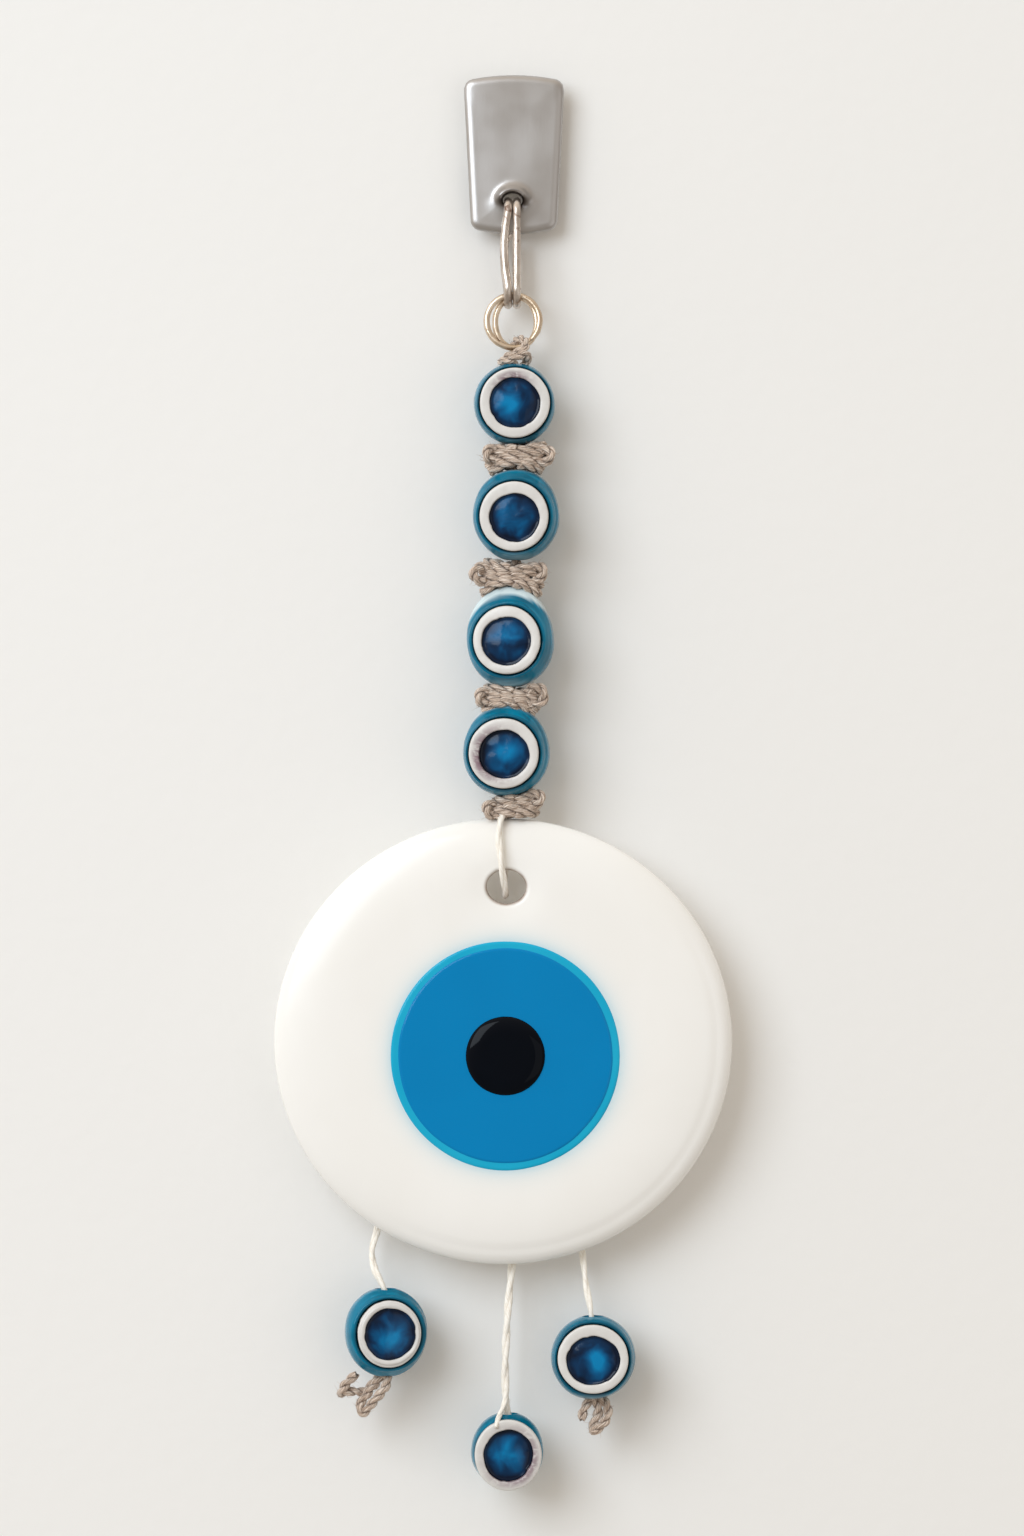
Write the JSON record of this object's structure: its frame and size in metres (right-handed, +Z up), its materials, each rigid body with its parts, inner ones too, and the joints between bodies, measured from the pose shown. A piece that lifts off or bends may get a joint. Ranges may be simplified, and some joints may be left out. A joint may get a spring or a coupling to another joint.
{
  "type": "evil eye ornament",
  "caption": "Hanging wall ornament: metal tag, split link and ring, knotted twine strung with round eye beads, a large round glass eye disc and bead pendants below it.",
  "frame": {"origin": "on the wall plane, at the middle of the tag's height and width, on the adhesive pad's back face", "axes": "+Z up along the string, +Y into the wall, so the ornament's front faces -Y"},
  "size_m": [0.1006, 0.018, 0.312],
  "materials": {
    "tag_steel": "satin",
    "foam": "matte",
    "aged_nickel": "satin",
    "pale_gold": "gloss",
    "twine": "matte",
    "cream_cord": "matte",
    "teal_glass": "gloss",
    "white_clay": "satin",
    "navy_glass": "gloss",
    "white_glass": "gloss",
    "cyan_glass": "gloss",
    "blue_glass": "gloss",
    "black_glass": "gloss",
    "glue": "satin"
  },
  "bodies": {
    "tag": {"tag_plate": "tag_steel", "adhesive_pad": "foam"},
    "link": {"split_link": "aged_nickel"},
    "ring": {"split_ring": "pale_gold"},
    "strand_1": {"hanging_loop": "twine", "string_core_1": "twine"},
    "knot_1": {"knot_1": "twine"},
    "strand_2": {"string_core_2": "twine"},
    "knot_2": {"knot_2": "twine"},
    "strand_3": {"string_core_3": "twine"},
    "knot_3": {"knot_3": "twine"},
    "strand_4": {"string_core_4": "twine"},
    "knot_4": {"knot_4": "twine"},
    "disc": {"glass_disc": "white_glass", "iris_halo": "cyan_glass", "iris": "blue_glass", "pupil": "black_glass", "disc_loop": "cream_cord", "left_glue_dab": "glue", "middle_glue_dab": "glue", "right_glue_dab": "glue"},
    "left_pendant": {"left_pendant_cord": "cream_cord", "left_end_knot": "twine"},
    "middle_pendant": {"middle_pendant_cord": "cream_cord", "middle_stop_knot": "cream_cord"},
    "right_pendant": {"right_pendant_cord": "cream_cord", "right_end_knot": "twine"},
    "bead_1": {"bead_1_body": "teal_glass", "bead_1_ring": "white_clay", "bead_1_eye": "navy_glass"},
    "bead_2": {"bead_2_body": "teal_glass", "bead_2_ring": "white_clay", "bead_2_eye": "navy_glass"},
    "bead_3": {"bead_3_body": "teal_glass", "bead_3_ring": "white_clay", "bead_3_eye": "navy_glass"},
    "bead_4": {"bead_4_body": "teal_glass", "bead_4_ring": "white_clay", "bead_4_eye": "navy_glass"},
    "bead_5": {"bead_5_body": "teal_glass", "bead_5_ring": "white_clay", "bead_5_eye": "navy_glass"},
    "bead_6": {"bead_6_body": "teal_glass", "bead_6_ring": "white_clay", "bead_6_eye": "navy_glass"},
    "bead_7": {"bead_7_body": "teal_glass", "bead_7_ring": "white_clay", "bead_7_eye": "navy_glass"}
  },
  "joints": [
    {"name": "link_swing", "type": "hinge", "parent": "tag", "child": "link", "pos_m": [0, -0.0048, -0.01175], "axis": [1, 0, 0], "range_deg": [-9, 0]},
    {"name": "ring_swing", "type": "hinge", "parent": "link", "child": "ring", "pos_m": [-0.0002, -0.00754, -0.03717], "axis": [0, 0.9925, -0.1219], "range_deg": [-15, 30]},
    {"name": "string_swing", "type": "hinge", "parent": "ring", "child": "strand_1", "pos_m": [0.0001, -0.0077, -0.043], "axis": [1, 0, 0], "range_deg": [-30, 0]},
    {"name": "knot_1_sway", "type": "hinge", "parent": "strand_1", "child": "knot_1", "pos_m": [0.0003, -0.0099, -0.0671], "axis": [0, 1, 0], "range_deg": [-15, 15]},
    {"name": "knot_1_bend", "type": "hinge", "parent": "knot_1", "child": "strand_2", "pos_m": [0.0003, -0.0099, -0.0671], "axis": [1, 0, 0], "range_deg": [-20, 0]},
    {"name": "knot_2_sway", "type": "hinge", "parent": "strand_2", "child": "knot_2", "pos_m": [-0.0002, -0.0104, -0.09385], "axis": [0, 1, 0], "range_deg": [-15, 15]},
    {"name": "knot_2_bend", "type": "hinge", "parent": "knot_2", "child": "strand_3", "pos_m": [-0.0002, -0.0104, -0.09385], "axis": [1, 0, 0], "range_deg": [-20, 0]},
    {"name": "knot_3_sway", "type": "hinge", "parent": "strand_3", "child": "knot_3", "pos_m": [-0.0012, -0.0104, -0.1202], "axis": [0, 1, 0], "range_deg": [-15, 15]},
    {"name": "knot_3_bend", "type": "hinge", "parent": "knot_3", "child": "strand_4", "pos_m": [-0.0012, -0.0104, -0.1202], "axis": [1, 0, 0], "range_deg": [-20, 0]},
    {"name": "knot_4_sway", "type": "hinge", "parent": "strand_4", "child": "knot_4", "pos_m": [-0.002, -0.0104, -0.1442], "axis": [0, 1, 0], "range_deg": [-15, 15]},
    {"name": "disc_swing", "type": "hinge", "parent": "knot_4", "child": "disc", "pos_m": [-0.002, -0.0104, -0.1442], "axis": [1, 0, 0], "range_deg": [-25, 0]},
    {"name": "left_pendant_swing", "type": "hinge", "parent": "disc", "child": "left_pendant", "pos_m": [-0.0294, -0.0055, -0.231], "axis": [0, 1, 0], "range_deg": [-30, 35]},
    {"name": "middle_pendant_swing", "type": "hinge", "parent": "disc", "child": "middle_pendant", "pos_m": [-0.0003, -0.0055, -0.2382], "axis": [0, 1, 0], "range_deg": [-8, 20]},
    {"name": "right_pendant_swing", "type": "hinge", "parent": "disc", "child": "right_pendant", "pos_m": [0.015, -0.0055, -0.2364], "axis": [0, 1, 0], "range_deg": [-35, 10]},
    {"name": "bead_1_spin", "type": "hinge", "parent": "strand_1", "child": "bead_1", "pos_m": [0.0001, -0.00925, -0.0554], "axis": [0, 0, 1], "continuous": true},
    {"name": "bead_2_spin", "type": "hinge", "parent": "strand_2", "child": "bead_2", "pos_m": [0.0005, -0.0104, -0.0801], "axis": [0, 0, 1], "continuous": true},
    {"name": "bead_3_spin", "type": "hinge", "parent": "strand_3", "child": "bead_3", "pos_m": [-0.0008, -0.0104, -0.1076], "axis": [0, 0, 1], "continuous": true},
    {"name": "bead_4_spin", "type": "hinge", "parent": "strand_4", "child": "bead_4", "pos_m": [-0.0017, -0.0104, -0.1322], "axis": [0, 0, 1], "continuous": true},
    {"name": "bead_5_spin", "type": "hinge", "parent": "left_pendant", "child": "bead_5", "pos_m": [-0.0282, -0.0104, -0.2595], "axis": [0, 0, 1], "continuous": true},
    {"name": "bead_6_spin", "type": "hinge", "parent": "middle_pendant", "child": "bead_6", "pos_m": [-0.0015, -0.0104, -0.286], "axis": [0, 0, 1], "continuous": true},
    {"name": "bead_7_spin", "type": "hinge", "parent": "right_pendant", "child": "bead_7", "pos_m": [0.0174, -0.0104, -0.2651], "axis": [0, 0, 1], "continuous": true}
  ]
}
